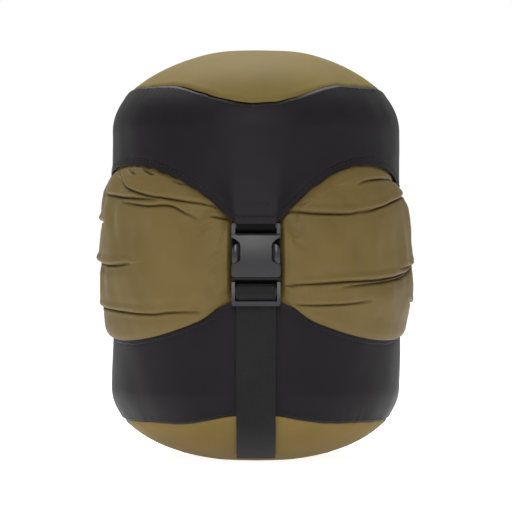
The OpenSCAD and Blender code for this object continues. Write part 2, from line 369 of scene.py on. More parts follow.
def plastic_material(name, dark, light, rough):
    """Moulded acetal: fine grain, faint flow marks, sharp edges lighter."""
    shader = Shader(name)
    dark, light = srgb(*dark), srgb(*light)
    pointiness = shader.add("NewGeometry").outputs["Pointiness"]
    # sharp edges lighter in colour
    edge_lighten = shader.ramp(pointiness, [(.50, (0, 0, 0, 1)), (.60, (1, 1, 1, 1))])
    flow = shader.noise(45, detail=4, rough=.6, distortion=.6)
    tint = shader.ramp(flow, [(.3, dark), (.7, light)])
    shader.surface({
        "Base Color": shader.mix(shader.math("MULTIPLY", edge_lighten, .30), tint, scaled(light, 2.1)),
        "Roughness": shader.vary(shader.noise(780), amount=.16, base=rough - .08),
        "Specular IOR Level": .5})
    grain = shader.bump(shader.noise(3200, detail=2, rough=.6), strength=.10, distance=.00004)
    shader.surface({"Normal": shader.bump(flow, strength=.05, distance=.0004, before=grain)})
    return shader.material


def cord_material():
    """Braid: two crossing sets of strands."""
    shader = Shader("braided_cord")
    x, y, z = shader.split(shader.position)
    around = shader.math("MULTIPLY", shader.math("ARCTAN2", y, x), .0137)
    strands = [shader.wave(shader.math(turn, around, z), pitch=.0011)
               for turn in ("ADD", "SUBTRACT")]
    # the braid's colour runs dark in the gaps between strands and light on their crests: painted
    # shade
    braid = shader.math("MAXIMUM", *strands)
    shader.surface({
        "Base Color": shader.ramp(braid, [(.1, srgb(24, 23, 25)), (.9, srgb(52, 50, 54))]),
        "Roughness": .6,
        "Normal": shader.bump(braid, strength=.5, distance=.0002)})
    return shader.material


def steel_material():
    shader = Shader("spring_steel")
    shader.surface({
        "Metallic": 1,
        "Base Color": shader.ramp(shader.noise(300), [(.3, srgb(150, 150, 155)),
                                                      (.7, srgb(190, 190, 195))]),
        "Roughness": shader.vary(shader.noise(800), amount=.2, base=.2)})
    return shader.material


OLIVE = cloth_material("olive_nylon", [(105, 88, 48), (112, 94, 52), (118, 100, 57)],
                       rough=.50, sheen=.04, specular=.20)
OLIVE_DOME = cloth_material("olive_nylon_dome", [(109, 94, 51), (116, 101, 56), (122, 107, 61)],
                            rough=.62, sheen=.04, specular=.07, wrapped=False)
# the pouches' olive painted lighter for the base: painted light for the bounce from the pale
# floor
OLIVE_BASE_PAINTED_LIGHT = cloth_material("olive_nylon_base_painted_light", [(127, 107, 59), (134, 113, 64), (140, 119, 69)],
                            rough=.6, sheen=.04, specular=.09, wrapped=False)
CHARCOAL = cloth_material("charcoal_nylon", [(23, 20, 23), (26, 23, 26), (30, 27, 30)],
                          rough=.48, sheen=.02, specular=.17)
TAPE = cloth_material("binding_tape", [(24, 22, 24), (28, 26, 28), (34, 31, 34)],
                      rough=.62, sheen=.04, specular=.25, thread=.0007)
WEBBING = [webbing_material(f"webbing_{k}", 120 * k) for k in range(3)]
ACETAL = plastic_material("buckle_acetal", (30, 29, 32), (36, 35, 38), rough=.34)
PRONG_ACETAL = plastic_material("prong_acetal", (44, 44, 47), (52, 52, 55), rough=.2)
# near-black webbing: painted shade for the loop and lining seen in and through the buckle's slots
LOOP_WEBBING_PAINTED_SHADE = cloth_material("loop_webbing_painted_shade", [(11, 10, 11), (13, 12, 13), (16, 15, 16)],
                              rough=.72, sheen=0, specular=.10, thread=.0009)
# near-black acetal: painted shade on the plug's shoulder under the socket
ACETAL_PAINTED_SHADE = plastic_material("buckle_acetal_painted_shade", (11, 11, 12), (14, 14, 15), rough=.7)
THREAD = cloth_material("sewing_thread", [(24, 22, 24), (30, 28, 30), (40, 38, 40)],
                        rough=.55, sheen=.05, specular=.3, thread=.0005)
CORD = cord_material()
STEEL = steel_material()


# ---------------------------------------------------------------- mesh helpers
def fit(piece, slot, ride=None, replaces=None):
    """Hide the CAD part a piece replaces and attach the piece to the body it rides with. slot:
    not used.
    """
    if replaces:
        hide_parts(replaces)
    if ride:
        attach(piece, ride)


def link_mesh(name, mesh):
    piece = bpy.data.objects.new(name, mesh)
    scene.collection.objects.link(piece)
    return piece


def shade_smooth(mesh):
    mesh.polygons.foreach_set("use_smooth", [True] * len(mesh.polygons))


def new_object(name, verts, faces, material, sharp=None):
    """Smooth-shaded object from mm; edges bent more than sharp degrees stay hard."""
    mesh = bpy.data.meshes.new(name)
    mesh.from_pydata((np.asarray(verts, float) * MM).tolist(), [], faces)
    mesh.validate()
    mesh.update()
    bm = bmesh.new()
    bm.from_mesh(mesh)
    bmesh.ops.recalc_face_normals(bm, faces=bm.faces)
    if sharp is not None:
        for edge in bm.edges:
            if len(edge.link_faces) == 2 and edge.calc_face_angle(0) > math.radians(sharp):
                edge.smooth = False
    bm.to_mesh(mesh)
    bm.free()
    shade_smooth(mesh)
    mesh.materials.append(material)
    return link_mesh(name, mesh)


def grid_faces(columns, rows, offset=0, wrap=False, flip=False):
    i = np.arange(columns if wrap else columns - 1)[:, None]
    j = np.arange(rows - 1)[None]
    a = i * rows + j
    b = ((i + 1) % columns) * rows + j
    quads = np.stack([a, b, b + 1, a + 1], -1).reshape(-1, 4) + offset
    return (quads[:, ::-1] if flip else quads).tolist()


def grid_normals(points, wrap):
    if wrap:
        along = np.roll(points, -1, 0) - np.roll(points, 1, 0)
    else:
        along = np.gradient(points, axis=0)
    normals = np.cross(along, np.gradient(points, axis=1))
    return normals / np.maximum(np.linalg.norm(normals, axis=-1, keepdims=True), 1e-9)


def normals_towards(points, direction, wrap=True):
    """Grid normals, all flipped if they mostly oppose the direction."""
    normals = grid_normals(points, wrap)
    return -normals if (normals * direction).sum() < 0 else normals


def normals_outward(points, wrap=True):
    return normals_towards(points, points * (1, 1, 0), wrap)


def shell(name, outer, material, thickness=None, wrap=True, inner=None):
    """Closed thin sheet from a grid (columns, rows, 3) and a thickness or an inner grid."""
    columns, rows = outer.shape[:2]
    if inner is None:
        middle = np.array([0, 0, np.clip(outer[..., 2].mean(), 40, TOP - 40)])
        inner = outer - normals_towards(outer, outer - middle, wrap) * thickness
    offset = columns * rows
    faces = (grid_faces(columns, rows, 0, wrap)
             + grid_faces(columns, rows, offset, wrap, flip=True))
    for i in range(columns if wrap else columns - 1):
        a, b = i * rows, ((i + 1) % columns) * rows
        faces.append([b, a, a + offset, b + offset])
        a, b = a + rows - 1, b + rows - 1
        faces.append([a, b, b + offset, a + offset])
    if not wrap:
        for j in range(rows - 1):
            faces.append([j, j + 1, j + 1 + offset, j + offset])
            a = (columns - 1) * rows + j
            faces.append([a + 1, a, a + offset, a + 1 + offset])
    verts = np.concatenate([outer.reshape(-1, 3), inner.reshape(-1, 3)])
    return new_object(name, verts, faces, material)


def cap_shell(name, outer, pole_z, up, material):
    """As shell, closed at a pole next to the first row; up: 1 for the lid, -1 for the base."""
    columns, rows = outer.shape[:2]
    inner = outer - normals_towards(outer, (0, 0, up)) * CLOTH_T
    verts = np.concatenate([outer.reshape(-1, 3), inner.reshape(-1, 3),
                            [(0, 0, pole_z)], [(0, 0, pole_z - up * CLOTH_T)]])
    offset = columns * rows
    faces = (grid_faces(columns, rows, 0, True)
             + grid_faces(columns, rows, offset, True, flip=True))
    for i in range(columns):
        a, b = i * rows, ((i + 1) % columns) * rows
        faces.append([a, b, 2 * offset])
        faces.append([b + offset, a + offset, 2 * offset + 1])
        a, b = a + rows - 1, b + rows - 1
        faces.append([a, b, b + offset, a + offset])
    return new_object(name, verts, faces, material)


# A stitch: place along its length, share of its radius
STITCH_SHAPE = [(-.5, .15), (-.46, .7), (-.30, 1.0), (.30, 1.0), (.46, .7), (.5, .15)]


def stitches(name, rows, radius=.24, length=2.6, gap=1.0, lift=.12):
    """Thread capsules along rows of (points, normals)."""
    verts, faces = [], []
    for points, normals in rows:
        distances = arc_lengths(points)
        count = int(distances[-1] // (length + gap))
        step = distances[-1] / count
        for index in range(count):
            centre = (index + .5) * step
            ends = centre + np.array([-length / 2, 0, length / 2])
            tail, middle, head = interp_line(ends, distances, points)
            normal = interp_line(centre, distances, normals)
            normal /= np.linalg.norm(normal)
            span = np.linalg.norm(head - tail)
            tangent = (head - tail) / span
            side = np.cross(normal, tangent)
            first = len(verts)
            for place, share in STITCH_SHAPE:
                ring = (middle + tangent * place * span
                        + normal * (lift - abs(place) ** 2 * 1.3 * radius))
                for corner in range(6):
                    angle = corner * math.pi / 3
                    spoke = normal * math.sin(angle) * .8 + side * math.cos(angle)
                    verts.append(ring + spoke * radius * share)
            for i in range(len(STITCH_SHAPE) - 1):
                a = first + i * 6
                for corner in range(6):
                    after = (corner + 1) % 6
                    faces.append([a + corner, a + after, a + 6 + after, a + 6 + corner])
            faces.append([first + corner for corner in range(6)][::-1])
            faces.append([first + 30 + corner for corner in range(6)])
    return new_object(name, verts, faces, THREAD)


# ---------------------------------------------------------------- caps: skirts and domes
TURN = np.arange(AROUND) * 360 / AROUND
AWAY = from_strap(TURN)
AWAY_LID = from_strap_lid(TURN)


def near_strap(full, none):
    """1 up to `full` degrees from a strap, 0 beyond `none`."""
    return 1 - ease(full, none, AWAY)


def seam_dip(width):
    return .5 + .5 * np.cos(math.pi * np.clip(AWAY / width, 0, 1))


def seam_puckers(waves, seed):
    strength = .55 + .45 * ring_noise(TURN, (3, 11), terms=5, seed=seed + 1)
    return (ring_noise(TURN, waves, terms=12, seed=seed) * strength)[:, None]


# Tilt of the seam between dome and skirt, degrees from the pole
LID_SEAM = 58.0 + 14.6 * seam_dip(44) + .08 * ring_noise(TURN, (18, 46), terms=7, seed=3)
BASE_SEAM = 64.6 + 8.2 * seam_dip(38) + .09 * ring_noise(TURN, (16, 44), terms=7, seed=53)
LID_PUCKERS = seam_puckers((58, 120), seed=5)
BASE_PUCKERS = seam_puckers((50, 110), seed=15)
VALLEY = ease(12, 45, AWAY)[:, None]         # 1 between the straps

# A skirt's grid, its normals before relief, and distances from the seam and the hem
Sheet = namedtuple("Sheet", "points normals from_seam from_hem")


def plain_skirt(rows, seam, arc_points, profile, hem):
    """Smooth skirt from the seam over the shoulder and straight on to the hem."""
    share = end_dense(rows)
    lines, lengths = [], []
    for i in range(AROUND):
        arc_r, arc_z = profile(np.linspace(seam[i], 90, arc_points))
        line = np.c_[np.r_[arc_r, RADIUS], np.r_[arc_z, hem[i]]]
        points, length = resample(line, share)
        lines.append(points)
        lengths.append(length)
    lines, lengths = np.array(lines), np.array(lengths)[:, None]
    points = polar(TURN[:, None], lines[..., 0], lines[..., 1])
    return Sheet(points, normals_outward(points), share * lengths, (1 - share) * lengths)


def skirt_relief(sheet, puckers, seam_roll, hem_roll, broad, flare, seed):
    """Height of the relief both skirts share; broad and flare: sizes of its long waves
    and of the swelling at the hem between the straps."""
    seam, hem = sheet.from_seam, sheet.from_hem
    turn, z = TURN[:, None], sheet.points[..., 2]
    relief = -.50 * bell(seam, 1.3) + seam_roll * bell(seam - 3, 2.4)
    relief += puckers * np.exp(-seam / 5) * (1 - bell(seam, 1.2))
    relief += hem_roll * bell(hem, 1.6) - .10 * bell(hem - 4.8, .8)
    relief += broad * field_noise(turn, z, (3, 9), rise=80, terms=8, seed=seed)
    relief += .05 * field_noise(turn, z, (12, 30), rise=30, terms=9, seed=seed + 1)
    return relief + flare * VALLEY * np.exp(-hem / 10)


# How far the buckle's loop lifts the skirt's tip: height from the buckle top, lift
TIP_LIFT = np.array([(-4, 7.3), (0, 7.9), (3, 7.2), (8, 5.3), (14, 4.2),
                     (22, 3.0), (32, 1.5), (44, .5), (58, 0)])


def tip_lift(z):
    heights = BUCKLE_Z + TIP_LIFT[:, 0]
    return .5 * sum(np.interp(z + shift, heights, TIP_LIFT[:, 1]) for shift in (-1.8, 1.8))


def lift_tips(points):
    """Flatten the skirt's tips and push them out over the loops, in place."""
    offset = np.mod(TURN + 60, 120) - 60
    straps = np.round((TURN - offset) / 120).astype(int)
    for i in np.flatnonzero(AWAY <= 30):
        away, side = strap_axes(straps[i])
        across, out, z = points[i] @ side, points[i] @ away, points[i, :, 2]
        margin = np.interp(z, BUCKLE_Z + np.array([0, 8, 30, 50]), [5, 12, 22, 30])
        weight = 1 - ease(12.8, 13 + margin, np.abs(across))
        hollow = (RADIUS - out) * (1 - ease(BUCKLE_Z + 8, BUCKLE_Z + 30, z))
        push = (np.maximum(hollow, 0) + tip_lift(z)) * weight
        points[i] += push[:, None] * away


def make_upper_skirt():
    hem = (lid_hem(AWAY_LID)
           + .18 * ring_noise(TURN, (20, 60), terms=8, seed=9) * ease(9, 20, AWAY)
           + .6 * near_strap(7, 12))
    sheet = plain_skirt(84, LID_SEAM, 26, lid_profile, hem)
    z = sheet.points[..., 2]
    relief = skirt_relief(sheet, .12 * LID_PUCKERS, seam_roll=.14, hem_roll=.15,
                          broad=.30, flare=.9, seed=31)
    ripple = ring_noise(TURN, (60, 140), terms=10, seed=21)[:, None]
    relief += .03 * ripple * np.exp(-sheet.from_hem / 6) * VALLEY
    # folds from each strap's tip up over the shoulder: degrees at the top, height
    offset = np.mod(TURN[:, None] + 60, 120) - 60
    fade = ease(BUCKLE_Z, BUCKLE_Z + 30, z) * (1 - ease(TOP - 50, TOP - 30, z))
    for degrees, height in ((17, .14), (29, .11), (41, .08)):
        line = degrees * (.25 + .75 * ease(BUCKLE_Z, BUCKLE_Z + 75, z))
        for side in (-1, 1):
            relief += height * bell(offset - side * line, 3.2) * fade
    points = sheet.points + sheet.normals * relief[..., None]
    lift_tips(points)
    piece = shell("upper_skirt_cloth", points, CHARCOAL, CLOTH_T)
    fit(piece, "charcoal_cloth", ride="lid", replaces="upper_skirt")
    return sheet._replace(points=points)


def make_lower_skirt():
    hem = (base_hem(AWAY)
           + .18 * ring_noise(TURN, (20, 60), terms=8, seed=59) * ease(9, 20, AWAY))
    sheet = plain_skirt(76, BASE_SEAM, 24, base_profile, hem)
    broad = .32 * (1 - .6 * near_strap(9, 16))[:, None]
    relief = skirt_relief(sheet, .11 * BASE_PUCKERS, seam_roll=.30, hem_roll=.12,
                          broad=broad, flare=.3, seed=61)
    relief -= .5 * near_strap(7, 13)[:, None] * ease(0, 6, sheet.from_seam)
    points = sheet.points + sheet.normals * relief[..., None]
    piece = shell("lower_skirt_cloth", points, CHARCOAL, CLOTH_T)
    fit(piece, "charcoal_cloth", ride="base", replaces="lower_skirt")
    return sheet._replace(points=points)


def dome_grid(rows, seam, profile, up, puckers, ripple_seed, broad=0):
    """Radii and puckered points of a dome; broad: size of its long waves."""
    share = np.linspace(.012, 1, rows) ** .9
    r, z = profile(share[None] * seam[:, None])
    points = polar(TURN[:, None], r, z)
    from_seam = (1 - share[None]) * np.radians(seam[:, None]) * 73
    relief = -.70 * bell(from_seam, 1.3) + .22 * bell(from_seam - 3.5, 2.6)
    relief += .11 * puckers * np.exp(-from_seam / 6) * (1 - bell(from_seam, 1.1))
    ripple = ring_noise(TURN, (14, 30), terms=8, seed=ripple_seed)[:, None]
    relief += .10 * ripple * np.exp(-from_seam / 18) * ease(0, 3, from_seam)
    if broad:
        waves = field_noise(TURN[:, None], r, (2, 5), rise=90, terms=6, seed=42)
        relief += broad * waves * ease(4, 40, r)
    return r, points + normals_towards(points, (0, 0, up)) * relief[..., None]


def make_lid_dome():
    points = dome_grid(64, LID_SEAM, lid_profile, 1, LID_PUCKERS, ripple_seed=41, broad=.45)[1]
    piece = cap_shell("lid_dome_cloth", points, points[:, 0, 2].mean() + .02, 1, OLIVE_DOME)
    fit(piece, "olive_cloth", ride="lid", replaces="lid_panel")


def make_base_dome():
    r, points = dome_grid(60, BASE_SEAM, base_profile, -1, BASE_PUCKERS, ripple_seed=71)
    # the foot rests flat, just clear of the floor
    points[..., 2] = np.maximum(points[..., 2], .05 + .02 * r / FOOT_RADIUS)
    piece = cap_shell("base_dome_cloth", points, .04, -1, OLIVE_BASE_PAINTED_LIGHT)
    fit(piece, "olive_cloth", ride="base", replaces="base_panel")


upper_skirt = make_upper_skirt()
make_lid_dome()
lower_skirt = make_lower_skirt()
make_base_dome()


# ---------------------------------------------------------------- hem tapes and stitches
def sample_sheet(sheet, distances, at):
    """A sheet's points and normals where each column's distance equals `at`."""
    orders = np.argsort(distances, axis=1)
    return [np.array([interp_line(at, row[order], column[order])
                      for row, order, column in zip(distances, orders, grid)])
            for grid in (sheet.points, sheet.normals)]


def make_hem_tape(name, sheet, **fitting):
    """Tape folded over the skirt's edge."""
    width = 4.6
    middle = -.28                       # centre of the turn, out from the cloth's face
    places = np.linspace(0, width, 12)
    cloth, normals = sample_sheet(sheet, sheet.from_hem, places)
    crown = .14 + .08 * np.sin(np.pi * places / width) ** .5 - .25 * bell(places - width, .35)
    edge = cloth[:, 0]
    beyond = edge - cloth[:, 1]
    beyond /= np.linalg.norm(beyond, axis=1, keepdims=True)

    def layer(height, turn_radius, depth_behind):
        """One face of the tape: up front, round the edge, up behind."""
        front = cloth + normals * height
        turn = [edge + normals[:, 0] * (middle + math.sin(angle) * turn_radius)
                + beyond * math.cos(angle) * turn_radius
                for angle in np.linspace(math.pi / 2, -math.pi / 2, 7)[1:-1]]
        behind = [cloth[:, j] - normals[:, j] * depth_behind for j in (0, 3, 6, 9)]
        return np.stack([*front.transpose(1, 0, 2)[::-1], *turn, *behind], 1)

    outer = layer(crown[None, :, None], turn_radius=.62, depth_behind=.62 - middle)
    inner = layer(.02, turn_radius=.34, depth_behind=.60)
    fit(shell(name, outer, CHARCOAL, inner=inner), "binding_tape", **fitting)


def stitch_line(sheet, distances, at, lift=0.0):
    """Closed line of points and normals at one distance."""
    points, normals = sample_sheet(sheet, distances, at)
    points = points + normals * lift
    return np.r_[points, points[:1]], np.r_[normals, normals[:1]]


make_hem_tape("upper_hem_tape", upper_skirt, ride="lid", replaces="upper_hem_binding")
make_hem_tape("lower_hem_tape", lower_skirt, ride="base", replaces="lower_hem_binding")
for cap, skirt in (("lid", upper_skirt), ("base", lower_skirt)):
    fit(stitches(f"stitches_{cap}", [stitch_line(skirt, skirt.from_seam, 2.6),
                                     stitch_line(skirt, skirt.from_hem, 3.7, lift=.33)]),
        "cord", ride=cap)

# ---------------------------------------------------------------- pouches between the straps
# Each crease: a line of (degrees from the section's first strap, height), then its depth,
# its width and how far the cloth above puffs out.
RIGHT_CREASES = [
    ([(41, 179.7), (45, 182.3), (52, 183.4), (62, 184.2), (72, 182)], 1.9, 1.2, .8),
    ([(10.5, 162.6), (22, 161.2), (35.6, 160.6), (41, 162.3), (46, 164.3)], 2.3, 1.2, 1.1),
    ([(42, 161.6), (50, 164.2), (60, 168.8), (71, 172), (84, 176)], 2.5, 1.2, 1.2),
    ([(10.5, 114.6), (24, 116.6), (36, 118.0), (48, 118.6), (59, 120.4), (76, 124.6),
      (90, 129.2), (99, 131)], 3.0, 1.3, 1.5),
    ([(33, 114.2), (47.6, 116.2), (62, 118.4), (74, 121.6), (86, 126.2)], 2.2, 1.1, .6),
    ([(64, 125.5), (74, 127.2), (86, 128.8)], 1.7, 1.0, .6),
    ([(13.5, 102.4), (24, 102.6), (37, 103.3), (46.5, 105.2)], 1.7, 1.1, .7),
    ([(88, 150), (97, 153), (104, 157), (110, 158)], 2.0, 1.2, .9),
    ([(76, 105), (88, 102), (98, 104), (110, 108)], 2.0, 1.2, .9),
    ([(90, 176), (98, 170), (108, 162)], 1.8, 1.2, .8),
]
BACK_CREASES = [
    ([(12, 164), (25, 166), (40, 163), (56, 168), (72, 166), (90, 169), (104, 161)],
     2.3, 1.2, 1.1),
    ([(30, 182), (44, 177), (58, 179), (70, 183), (84, 180)], 1.8, 1.2, .8),
    ([(10.5, 128), (24, 125), (38, 128), (54, 126), (66, 122)], 2.8, 1.3, 1.6),
    ([(60, 136), (74, 132), (90, 134), (109, 130)], 2.6, 1.3, 1.4),
    ([(12, 108), (28, 104), (46, 101), (64, 99), (80, 102)], 2.0, 1.2, .9),
    ([(70, 112), (84, 109), (97, 111), (108, 108)], 2.0, 1.2, .9),
    ([(44, 147), (54, 149), (62, 146)], 1.5, 1.1, .6),
]
# Here the degrees run back from the front strap, which ends this section
LEFT_CREASES_FROM_FRONT = [
    ([(66, 188), (62, 184.5), (57.4, 179.4), (50, 174.8), (38.1, 171.7), (29.7, 169.6),
      (21.4, 167.6), (15, 165.6)], 2.2, 1.2, 1.1),
    ([(78, 174.5), (66, 173), (49.2, 171.0), (39.4, 170.2)], 2.4, 1.3, 1.1),
    ([(58, 168.8), (50, 167), (42, 165.8), (33, 166.9), (27.4, 161.8), (22.5, 158.0)],
     2.0, 1.1, .7),
    ([(17, 159.4), (9.5, 157.8)], 2.0, 1.1, .7),
    ([(100, 135), (92, 132.5), (84, 130.7), (76, 128.8), (68, 127.9), (59.5, 128.1),
      (53, 129.2)], 3.4, 1.2, 2.3),
    ([(104, 108), (92, 103.5), (82, 100.8), (70, 99.2), (60.5, 97.9), (40.7, 96.2),
      (34.3, 97.8), (21.4, 98.2)], 2.3, 1.2, 1.1),
    ([(104, 158), (94, 157), (84, 156.4), (77, 157.0)], 2.6, 1.3, 1.5),
    ([(58, 189.3), (55, 187.5), (52, 186.0)], 1.5, .9, .4),
    ([(49, 189.3), (45.5, 187.2), (42.5, 185.6)], 1.5, .9, .4),
    ([(33, 182.0), (29, 179.6)], 1.2, .9, .3),
]
LEFT_CREASES = [([(120 - degrees, z) for degrees, z in line], *sizes)
                for line, *sizes in LEFT_CREASES_FROM_FRONT]

POUCH_START, POUCH_END = 3.0, 117.0         # degrees from the section's first strap
POUCH_GRID = (100, 72)                      # columns and rows of the plain pouch
FINE_GRID = (270, 230)
HELD_ROWS = (15, 6)                         # kept still at the bottom and the top

# Sections out from the cap radius and up from a hem. Bottom: rolled over the hem
# between the straps, and flat beside a strap.
ROLLED = np.array([(-1.4, -4), (-1.4, .6), (-.4, 1.9), (1.0, 1.5), (1.7, -.4), (2.5, -1.9),
                   (3.9, -2.0), (5.0, .0), (5.8, 3.2)])
FLAT = np.array([(-1.4, -4), (-1.4, -1.5), (-1.2, .2), (-.8, 1.2), (-.3, 2.0), (.4, 2.8),
                 (1.4, 3.8), (2.4, 5.2), (3.4, 7.4)])
# Top: share of the pouch's fullness, height from the upper hem
TUCK = np.array([(.74, -9.5), (.53, -5.6), (.29, -2.9), (0, -1.2)])


def plain_pouch(section):
    """Angles and (radius, height) columns: from behind the lower skirt, rolled out over
    its hem, and up behind the upper skirt."""
    angles = POUCH_START + (POUCH_END - POUCH_START) * end_dense(POUCH_GRID[0], .45)
    lines = []
    for angle in angles:
        away = from_strap(angle)
        across = RADIUS * math.sin(math.radians(away))
        low = base_hem(away)
        high = lid_hem(from_strap_lid(angle + 120 * section))
        free = 1 - (1 - min(1, max(0, (across - 15.2) / 2.8))) ** 2.1   # 0 under the strap
        roll = ease(15, 36, across)
        full = 3.0 + 4.5 * math.sin(math.pi * (angle - POUCH_START)
                                    / (POUCH_END - POUCH_START)) ** .5
        tucked = RADIUS - (1 - free) * 1.3

        out, up = (ROLLED * roll + FLAT * (1 - roll)).T
        out = np.where(out > 0, out * full / 7.6 * free, out)
        bottom = np.c_[RADIUS + out - (1 - free) * 1.3 * (out > -1), low + up]

        z = (low + 7.5) + (high - 13 - low - 7.5) * np.linspace(0, 1, 12)[1:-1]
        share = (z - low) / (high - low)
        power = np.where(share > .5, 2.7, 3.4)
        bulge = full * (1 - np.abs(2 * share - 1) ** power) ** .5 * (1 - .08 * (share - .5) * 2)
        middle = np.c_[tucked + bulge * free, z]

        top = np.c_[tucked + TUCK[:, 0] * full * free - .6, high + TUCK[:, 1]]
        end = [(RADIUS - 1.5, high + .6), (RADIUS - 1.6, high + 4)]
        line = round_corners(np.r_[bottom, middle, top, end], 2)
        lines.append(resample(line, end_dense(POUCH_GRID[1], .38))[0])
    return angles, np.array(lines)


def simulate(points, furthest=1.3, pressure=1.3, frames=20, spare=.03):
    """Blow out an open sheet with spare cloth, its rim held; moves up to `furthest` mm."""
    columns, rows = points.shape[:2]
    mesh = bpy.data.meshes.new("sim")
    mesh.from_pydata((points.reshape(-1, 3) * MM).tolist(), [], grid_faces(columns, rows))
    mesh.update()
    piece = link_mesh("sim", mesh)
    bpy.context.view_layer.objects.active = piece
    index = np.arange(columns * rows).reshape(columns, rows)
    rim = np.unique(np.r_[index[0], index[-1], index[:, :HELD_ROWS[0]].ravel(),
                          index[:, -HELD_ROWS[1]:].ravel()])
    piece.vertex_groups.new(name="pin").add(rim.tolist(), 1.0, "REPLACE")
    # pressure acts along the normals, so these must face outward
    bm = bmesh.new()
    bm.from_mesh(mesh)
    bm.faces.ensure_lookup_table()
    centre = points.reshape(-1, 3).mean(0)
    if bm.faces[len(bm.faces) // 2].normal.dot(Vector((centre[0], centre[1], 0))) < 0:
        bmesh.ops.reverse_faces(bm, faces=bm.faces)
    bm.to_mesh(mesh)
    bm.free()
    cloth = piece.modifiers.new("c", "CLOTH")
    settings = dict(
        quality=6, mass=.12,
        tension_stiffness=12, compression_stiffness=8, shear_stiffness=4, bending_stiffness=.04,
        tension_damping=6, compression_damping=6, shear_damping=4, bending_damping=.4,
        air_damping=2, use_pressure=True, uniform_pressure_force=pressure,
        vertex_group_mass="pin", shrink_min=-spare, shrink_max=-spare)
    for key, value in settings.items():
        setattr(cloth.settings, key, value)
    cloth.settings.effector_weights.gravity = 0
    cloth.collision_settings.use_collision = False
    cloth.collision_settings.use_self_collision = False
    cloth.point_cache.frame_start = 1
    cloth.point_cache.frame_end = frames
    for number in range(1, frames + 1):
        scene.frame_set(number)
    evaluated = piece.evaluated_get(bpy.context.evaluated_depsgraph_get())
    settled = np.zeros(columns * rows * 3)
    evaluated.data.vertices.foreach_get("co", settled)
    move = settled.reshape(columns, rows, 3) / MM - points
    bpy.data.objects.remove(piece)
    bpy.data.meshes.remove(mesh)
    scene.frame_set(1)
    length = np.linalg.norm(move, axis=-1, keepdims=True)
    return points + move * np.minimum(1, furthest / np.maximum(length, 1e-6))


def refine(grid, columns, rows):
    """Catmull-Rom refinement of a grid."""
    def one_way(values, count):
        last = values.shape[0] - 1
        t = np.linspace(0, last, count)
        i = np.minimum(t.astype(int), last - 1)
        f = (t - i).reshape(-1, *([1] * (values.ndim - 1)))
        p0, p1, p2, p3 = (values[np.clip(i + k, 0, last)] for k in (-1, 0, 1, 2))
        return .5 * ((2 * p1) + (-p0 + p2) * f + (2 * p0 - 5 * p1 + 4 * p2 - p3) * f ** 2
                     + (-p0 + 3 * p1 - 3 * p2 + p3) * f ** 3)
    return one_way(one_way(grid, columns).transpose(1, 0, 2), rows).transpose(1, 0, 2)


def crease_relief(degrees, z, creases):
    """Outward relief, downward lap over the grooves, and the painted shade for the grooves (0 to
    1).
    """
    per_degree = RADIUS * math.pi / 180
    around = degrees * per_degree
    relief, lap, dark = (np.zeros_like(degrees) for _ in range(3))
    for points, depth, width, puff in creases:
        line = round_corners([(angle * per_degree, height) for angle, height in points], 2)
        distances = arc_lengths(line)
        nearest = np.full(degrees.shape, 1e9)
        side, share = np.zeros_like(degrees), np.zeros_like(degrees)
        for passed, start, end in zip(distances, line[:-1], line[1:]):
            step = end - start
            square = (step ** 2).sum()
            t = ((around - start[0]) * step[0] + (z - start[1]) * step[1]) / square
            t = np.clip(t, 0, 1)
            dx, dz = around - (start[0] + t * step[0]), z - (start[1] + t * step[1])
            gap = np.hypot(dx, dz)
            closer = gap < nearest
            nearest = np.where(closer, gap, nearest)
            side = np.where(closer, np.sign(step[0] * dz - step[1] * dx), side)
            share = np.where(closer, (passed + t * math.sqrt(square)) / distances[-1], share)
        if line[0][0] > line[-1][0]:
            side = -side
        above = side * nearest
        fade = np.sin(np.pi * np.clip(share * .94 + .03, 0, 1)) ** .55
        groove = -1.75 * depth * np.exp(-(nearest / (.66 * width)) ** 1.3)
        # the cloth above rolls over the groove, that below dips and rises gently
        roll = (puff * (bell(above - 2.2, 2.3) + .35 * bell(above - 8, 6))
                - .45 * puff * bell(above + 3.0, 3.2))
        relief += (groove + roll) * fade
        lap += .75 * puff ** .5 * bell(above - 1.3, 1.4) * fade
        # painted shade along each groove, for the cloth's colour
        dark = np.maximum(dark, bell(nearest, .75 * width) * fade * min(1, depth / 2.2))
    return relief, lap, dark


def settle_pouch(points, angles, z, section):
    """Let the free part of a pouch settle under pressure from a slightly uneven start."""
    row = np.arange(POUCH_GRID[1])
    low, high = HELD_ROWS
    free = ease(low, low + 9, row)[None] * ease(high, high + 9, row[::-1])[None]
    free = free * ease(14, 22, RADIUS * np.sin(np.radians(from_strap(angles))))[:, None]
    uneven = .3 * field_noise(angles[:, None], z, (14, 40), rise=26, terms=10,
                              seed=200 + section) * free
    settled = simulate(points + normals_outward(points, wrap=False) * uneven[..., None])
    return points + (settled - points) * free[..., None]


